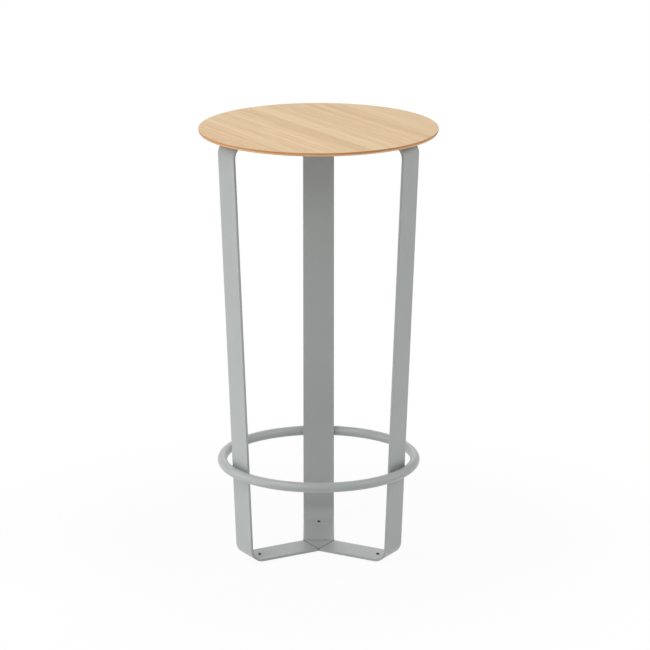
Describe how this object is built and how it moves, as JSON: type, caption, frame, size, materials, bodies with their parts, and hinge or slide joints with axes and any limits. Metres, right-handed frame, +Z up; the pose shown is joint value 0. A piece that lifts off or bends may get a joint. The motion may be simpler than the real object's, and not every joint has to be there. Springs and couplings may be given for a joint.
{
  "type": "standing meeting table",
  "caption": "Bar-height round meeting table: thin oak-veneered top on bent flat-steel legs joined at foot and top, with a round foot ring outside them and levelling glides.",
  "frame": {"origin": "on the floor, under the centre of the round top", "axes": "+Z up; the rear leg stands towards +Y, the left and right legs 120 degrees to each side of it"},
  "size_m": [0.5999, 0.6, 1.105],
  "materials": {
    "oak_veneer": "matt clear lacquer",
    "oak_edge": "matt clear lacquer",
    "core_board": "bare board",
    "backing_veneer": "matt clear lacquer",
    "grey_powder_coat": "satin powder coat",
    "zinc_plated_steel": "zinc plated",
    "brass_insert": "plain",
    "blackened_steel": "black oxide",
    "black_nylon": "fine matt",
    "grey_rubber": "matt"
  },
  "bodies": {
    "frame": {"tabletop_core": "core_board", "oak_edging": "oak_edge", "oak_face_veneer": "oak_veneer", "backing_veneer": "backing_veneer", "rear_leg": "grey_powder_coat", "left_leg": "grey_powder_coat", "right_leg": "grey_powder_coat", "base_centre_plate": "grey_powder_coat", "top_centre_plate": "grey_powder_coat", "foot_ring": "grey_powder_coat", "ring_welds": "grey_powder_coat", "base_plate_welds": "grey_powder_coat", "top_plate_welds": "grey_powder_coat", "top_screws": "zinc_plated_steel", "threaded_inserts": "brass_insert"},
    "rear_glide_foot": {"rear_glide_pad": "black_nylon", "rear_glide_sole": "grey_rubber"},
    "rear_glide_screw": {"rear_glide_stud": "blackened_steel"},
    "left_glide_foot": {"left_glide_pad": "black_nylon", "left_glide_sole": "grey_rubber"},
    "left_glide_screw": {"left_glide_stud": "blackened_steel"},
    "right_glide_foot": {"right_glide_pad": "black_nylon", "right_glide_sole": "grey_rubber"},
    "right_glide_screw": {"right_glide_stud": "blackened_steel"}
  },
  "joints": [
    {"name": "rear_glide_lift", "type": "slide", "parent": "frame", "child": "rear_glide_foot", "axis": [0, 0, -1], "range_m": [0, 0.0025]},
    {"name": "rear_glide_turn", "type": "hinge", "parent": "rear_glide_foot", "child": "rear_glide_screw", "pos_m": [0, 0.17422, 0.006], "axis": [0, 0, -1], "range_deg": [0, 720]},
    {"name": "left_glide_lift", "type": "slide", "parent": "frame", "child": "left_glide_foot", "axis": [0, 0, -1], "range_m": [0, 0.0025]},
    {"name": "left_glide_turn", "type": "hinge", "parent": "left_glide_foot", "child": "left_glide_screw", "pos_m": [-0.15088, -0.08711, 0.006], "axis": [0, 0, -1], "range_deg": [0, 720]},
    {"name": "right_glide_lift", "type": "slide", "parent": "frame", "child": "right_glide_foot", "axis": [0, 0, -1], "range_m": [0, 0.0025]},
    {"name": "right_glide_turn", "type": "hinge", "parent": "right_glide_foot", "child": "right_glide_screw", "pos_m": [0.15088, -0.08711, 0.006], "axis": [0, 0, -1], "range_deg": [0, 720]}
  ],
  "couplings": [
    {"joint": "rear_glide_turn", "follows": "rear_glide_lift", "rad_per_m": 5026.5},
    {"joint": "left_glide_turn", "follows": "left_glide_lift", "rad_per_m": 5026.5},
    {"joint": "right_glide_turn", "follows": "right_glide_lift", "rad_per_m": 5026.5}
  ]
}
